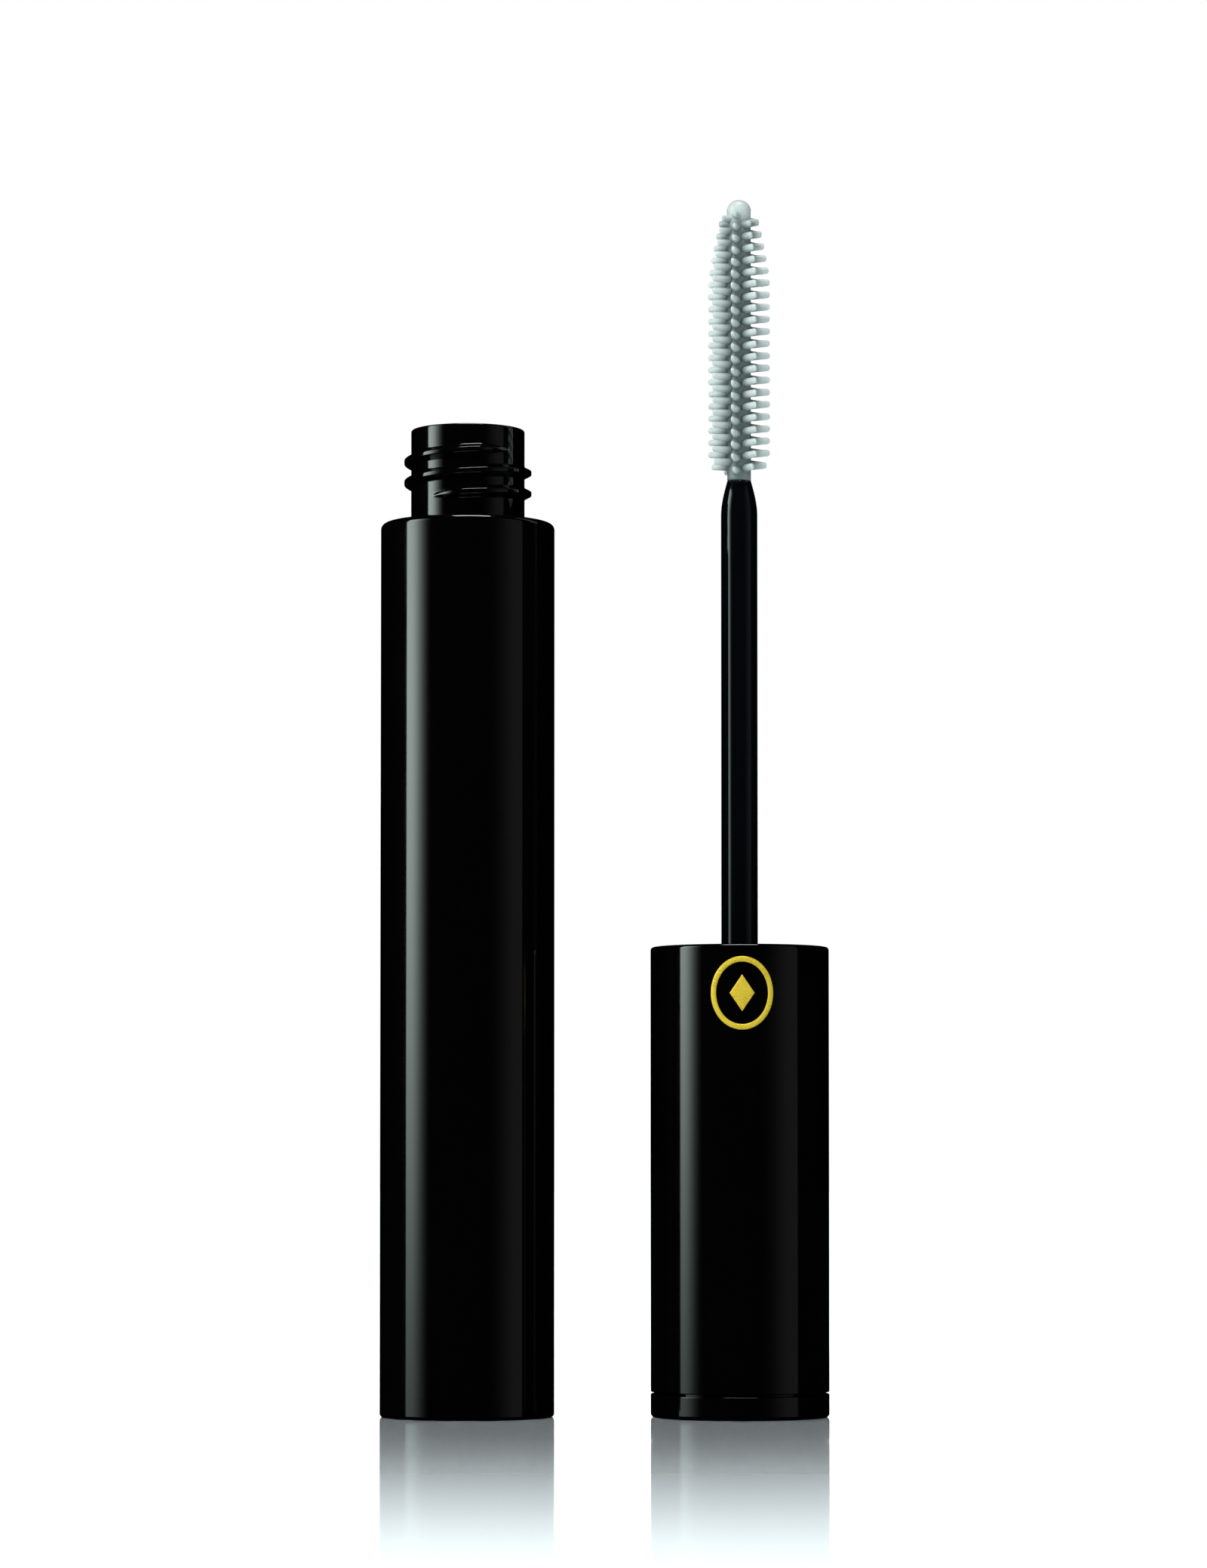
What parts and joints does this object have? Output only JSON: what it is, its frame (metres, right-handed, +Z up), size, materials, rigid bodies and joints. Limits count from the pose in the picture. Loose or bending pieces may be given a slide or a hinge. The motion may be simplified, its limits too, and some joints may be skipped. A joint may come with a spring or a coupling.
{
  "type": "vibrating mascara",
  "caption": "Slim cylindrical mascara bottle with a threaded neck, and its vibrating screw-cap applicator standing upside down beside it.",
  "frame": {"origin": "centre of the bottle's base, on the surface that the bottle and the applicator both stand on", "axes": "+Z up along the bottle; +X from the bottle's axis to the applicator's; -Y is the front, which the badge faces"},
  "size_m": [0.0453, 0.0181, 0.1233],
  "materials": {
    "bottle_black": "high gloss, one clear lacquer",
    "wiper_rubber": "soft, satin, smeared with black mascara",
    "seal_foam": "matt closed-cell foam",
    "cap_black": "high gloss, one clear lacquer",
    "inner_cap_black": "moulded satin",
    "badge_gold": "polished thin metal",
    "chassis_grey": "moulded satin",
    "cell_steel": "fine spun steel",
    "spring_steel": "drawn wire",
    "contact_brass": "stamped sheet",
    "board_green": "solder-resist satin",
    "dome_steel": "pressed sheet",
    "grommet_rubber": "matt",
    "lead_red": "soft gloss insulation",
    "lead_black": "soft gloss insulation",
    "button_black": "high gloss, one clear lacquer",
    "hub_grey": "moulded satin",
    "stem_black": "gloss moulded",
    "brush_pale": "pale translucent elastomer, satin",
    "motor_steel": "drawn can",
    "motor_plastic": "moulded",
    "shaft_steel": "ground",
    "weight_metal": "sintered"
  },
  "bodies": {
    "bottle": {"bottle": "bottle_black", "wiper": "wiper_rubber"},
    "seal": {"cap_seal": "seal_foam"},
    "cap": {"cap_shell": "cap_black", "inner_cap": "inner_cap_black", "badge": "badge_gold", "chassis_front": "chassis_grey", "chassis_back": "chassis_grey", "cell_lower": "cell_steel", "cell_upper": "cell_steel", "contact_spring": "spring_steel", "contact_plate": "contact_brass", "switch_board": "board_green", "snap_dome": "dome_steel", "grommet": "grommet_rubber", "lead_red": "lead_red", "lead_black": "lead_black"},
    "button": {"end_button": "button_black"},
    "wand": {"wand_hub": "hub_grey", "stem": "stem_black", "brush": "brush_pale", "motor_can": "motor_steel", "motor_end_cap": "motor_plastic"},
    "rotor": {"motor_shaft": "shaft_steel", "eccentric_weight": "weight_metal"}
  },
  "joints": [
    {"name": "applicator_swing", "type": "hinge", "parent": "bottle", "child": "seal", "pos_m": [0.01375, 0, 0.11315], "axis": [0, -1, 0], "range_deg": [0, 180]},
    {"name": "cap_turn", "type": "hinge", "parent": "seal", "child": "cap", "pos_m": [0.0275, 0, 0.0373], "axis": [0, 0, 1], "range_deg": [0, 558]},
    {"name": "button_press", "type": "slide", "parent": "cap", "child": "button", "axis": [0, 0, 1], "range_m": [0, 0.00015], "stiffness_N_per_m": 2000, "springref_m": -0.0003, "deforming": ["snap_dome"]},
    {"name": "wand_sway", "type": "hinge", "parent": "cap", "child": "wand", "pos_m": [0.0275, 0, 0.03605], "axis": [0, 1, 0], "range_deg": [-1.5, 1.5], "stiffness_Nm_per_rad": 0.05, "deforming": ["grommet", "lead_red", "lead_black"]},
    {"name": "weight_spin", "type": "hinge", "parent": "wand", "child": "rotor", "pos_m": [0.0275, 0, 0.026], "axis": [0, 0, 1], "continuous": true}
  ]
}
